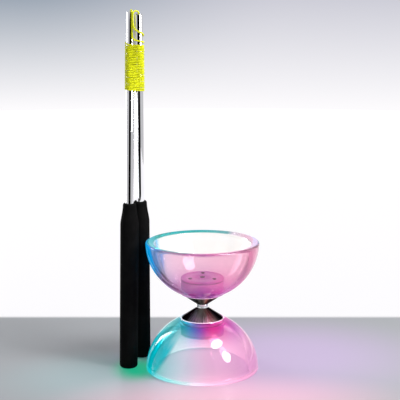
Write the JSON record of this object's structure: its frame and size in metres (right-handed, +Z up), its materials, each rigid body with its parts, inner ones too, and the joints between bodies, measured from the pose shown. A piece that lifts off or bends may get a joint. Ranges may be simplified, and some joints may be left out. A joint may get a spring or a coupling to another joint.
{
  "type": "diabolo",
  "caption": "Juggling diabolo with clear light-up cups and a free-turning waist collar, with two foam-grip handsticks and their wound string standing beside it.",
  "frame": {"origin": "centre of the spool's waist, where the string runs, on the axle's axis", "axes": "+Z up along the axle, -X towards the handsticks, +Y away from the side that is usually seen"},
  "size_m": [0.1427, 0.115, 0.3638],
  "materials": {
    "clear_cup": "clear polished moulded plastic with a coloured glow",
    "cone_metal": "dark turned metal with fine radial streaks",
    "collar_metal": "mirror polished",
    "axle_steel": "zinc plated",
    "bearing_steel": "ground and polished",
    "light_case": "moulded",
    "contact_brass": "stamped",
    "cell_steel": "nickel plated",
    "board_green": "solder resist",
    "led_chip": "moulded, lit",
    "seal_rubber": "moulded",
    "light_lens": "frosted",
    "button_plastic": "moulded",
    "screw_black": "black oxide",
    "tube_chrome": "polished and chrome plated",
    "grip_foam": "fine closed-cell foam",
    "plug_black": "moulded",
    "string_yellow": "braided"
  },
  "bodies": {
    "spool": {"upper_cup": "clear_cup", "lower_cup": "clear_cup", "upper_cone": "cone_metal", "lower_cone": "cone_metal", "axle_rod": "axle_steel", "upper_spacer": "axle_steel", "lower_spacer": "axle_steel", "upper_hub_washer": "axle_steel", "lower_hub_washer": "axle_steel", "upper_axle_nut": "axle_steel", "lower_axle_nut": "axle_steel", "bearing_inner_ring_1": "bearing_steel", "bearing_inner_ring_2": "bearing_steel", "bearing_inner_ring_3": "bearing_steel", "upper_light_housing": "light_case", "lower_light_housing": "light_case", "upper_battery_clip": "contact_brass", "lower_battery_clip": "contact_brass", "upper_button_cells": "cell_steel", "lower_button_cells": "cell_steel", "upper_dome_switch": "cell_steel", "lower_dome_switch": "cell_steel", "upper_circuit_board": "board_green", "lower_circuit_board": "board_green", "upper_leds": "led_chip", "lower_leds": "led_chip", "upper_seal_ring": "seal_rubber", "lower_seal_ring": "seal_rubber", "upper_light_lens": "light_lens", "lower_light_lens": "light_lens", "upper_cover_screws": "screw_black", "lower_cover_screws": "screw_black"},
    "collar": {"axle_sleeve": "collar_metal", "bearing_outer_ring_1": "bearing_steel", "bearing_outer_ring_2": "bearing_steel", "bearing_outer_ring_3": "bearing_steel"},
    "ball_set": {"bearing_balls_1": "bearing_steel", "bearing_balls_2": "bearing_steel", "bearing_balls_3": "bearing_steel"},
    "upper_button": {"upper_push_button": "button_plastic"},
    "lower_button": {"lower_push_button": "button_plastic"},
    "handsticks": {"front_stick_tube": "tube_chrome", "back_stick_tube": "tube_chrome", "front_stick_grip": "grip_foam", "back_stick_grip": "grip_foam", "front_foot_plug": "plug_black", "back_foot_plug": "plug_black", "front_tip_plug": "plug_black", "back_tip_plug": "plug_black", "front_string_knot": "string_yellow", "back_string_knot": "string_yellow", "string_winding": "string_yellow", "front_string_lead": "string_yellow", "back_string_lead": "string_yellow"}
  },
  "joints": [
    {"name": "collar_spin", "type": "hinge", "parent": "spool", "child": "collar", "pos_m": [0, 0, 0], "axis": [0, 0, 1], "continuous": true},
    {"name": "ball_set_roll", "type": "hinge", "parent": "spool", "child": "ball_set", "pos_m": [0, 0, 0], "axis": [0, 0, 1], "continuous": true},
    {"name": "upper_button_press", "type": "slide", "parent": "spool", "child": "upper_button", "axis": [0, 0, -1], "range_m": [0, 0.0007], "stiffness_N_per_m": 500, "springref_m": -0.001},
    {"name": "lower_button_press", "type": "slide", "parent": "spool", "child": "lower_button", "axis": [0, 0, 1], "range_m": [0, 0.0007], "stiffness_N_per_m": 500, "springref_m": -0.001},
    {"name": "handsticks_lift", "type": "slide", "parent": "spool", "child": "handsticks", "axis": [0, 0, 1], "range_m": [0, 0.15]}
  ],
  "couplings": [
    {"joint": "ball_set_roll", "follows": "collar_spin", "ratio": 0.56875}
  ]
}
